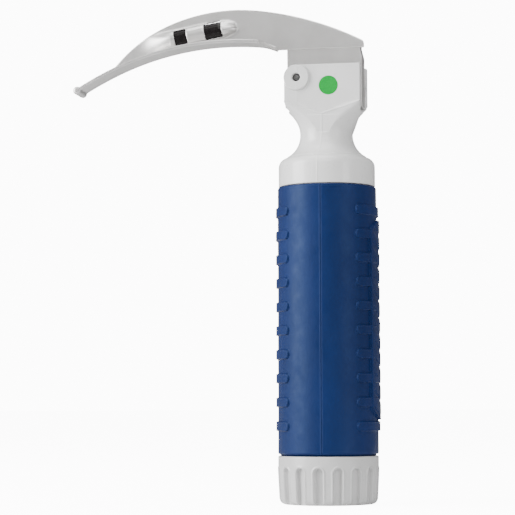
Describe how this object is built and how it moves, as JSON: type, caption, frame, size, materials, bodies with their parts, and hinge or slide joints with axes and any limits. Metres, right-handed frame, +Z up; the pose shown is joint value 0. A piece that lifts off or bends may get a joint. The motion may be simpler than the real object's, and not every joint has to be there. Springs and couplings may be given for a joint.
{
  "type": "laryngoscope",
  "caption": "Single-use battery-handle laryngoscope with a curved steel blade that folds on a hinge pin, and a screw cap.",
  "frame": {"origin": "centre of the end cap's flat bottom face", "axes": "+Z up the handle's axis, -X towards the blade's tip when open, -Y the side with the green marker"},
  "size_m": [0.0971, 0.0316, 0.1571],
  "materials": {
    "white_plastic": "gloss",
    "blue_rubber": "satin",
    "satin_steel": "satin",
    "spring_steel": "satin",
    "black_plastic": "gloss",
    "green_mark": "matte",
    "brass": "satin",
    "cell_jacket": "satin",
    "black_rubber": "matte",
    "board_green": "matte",
    "led_yellow": "matte",
    "clear_lens": "gloss"
  },
  "bodies": {
    "handle": {"head_housing": "white_plastic", "hinge_pin": "spring_steel", "green_dot": "green_mark", "grip_sleeve": "blue_rubber", "battery_tube": "white_plastic", "contact_strip": "brass", "battery_upper": "cell_jacket", "battery_lower": "cell_jacket", "cap_seal": "black_rubber", "lamp_sleeve": "brass", "lamp_contact": "brass", "lamp_spring": "spring_steel"},
    "blade": {"blade_shell": "satin_steel", "heel_block": "satin_steel", "light_guide_sheath": "black_plastic", "light_guide_tip": "clear_lens", "light_inlet": "clear_lens", "detent_spring": "spring_steel"},
    "lamp_plunger": {"lamp_carrier": "black_plastic", "led_board": "board_green", "led_chip": "led_yellow", "lamp_lens": "clear_lens"},
    "ball_near": {"detent_ball_near": "spring_steel"},
    "ball_far": {"detent_ball_far": "spring_steel"},
    "cap_carrier": {"cap_contact": "brass", "cap_spring": "spring_steel"},
    "cap": {"end_cap": "white_plastic"}
  },
  "joints": [
    {"name": "blade_fold", "type": "hinge", "parent": "handle", "child": "blade", "pos_m": [-0.00855, 0, 0.1341], "axis": [0, -1, 0], "range_deg": [0, 78]},
    {"name": "lamp_travel", "type": "slide", "parent": "handle", "child": "lamp_plunger", "axis": [0, 0, 1], "range_m": [0, 0.0012], "deforming": ["lamp_spring"]},
    {"name": "ball_near_travel", "type": "slide", "parent": "blade", "child": "ball_near", "axis": [0, -1, 0], "range_m": [-0.0003, 0], "stiffness_N_per_m": 200, "springref_m": 0.0005},
    {"name": "ball_far_travel", "type": "slide", "parent": "blade", "child": "ball_far", "axis": [0, 1, 0], "range_m": [-0.0003, 0], "stiffness_N_per_m": 200, "springref_m": 0.0005},
    {"name": "cap_travel", "type": "slide", "parent": "handle", "child": "cap_carrier", "axis": [0, 0, -1], "range_m": [0, 0.009]},
    {"name": "cap_turn", "type": "hinge", "parent": "cap_carrier", "child": "cap", "pos_m": [0, 0, 0], "axis": [0, 0, -1], "range_deg": [0, 1080]}
  ],
  "couplings": [
    {"joint": "lamp_travel", "follows": "blade_fold", "m_per_rad": 0.00088059},
    {"joint": "cap_travel", "follows": "cap_turn", "m_per_rad": 0.00047742}
  ]
}
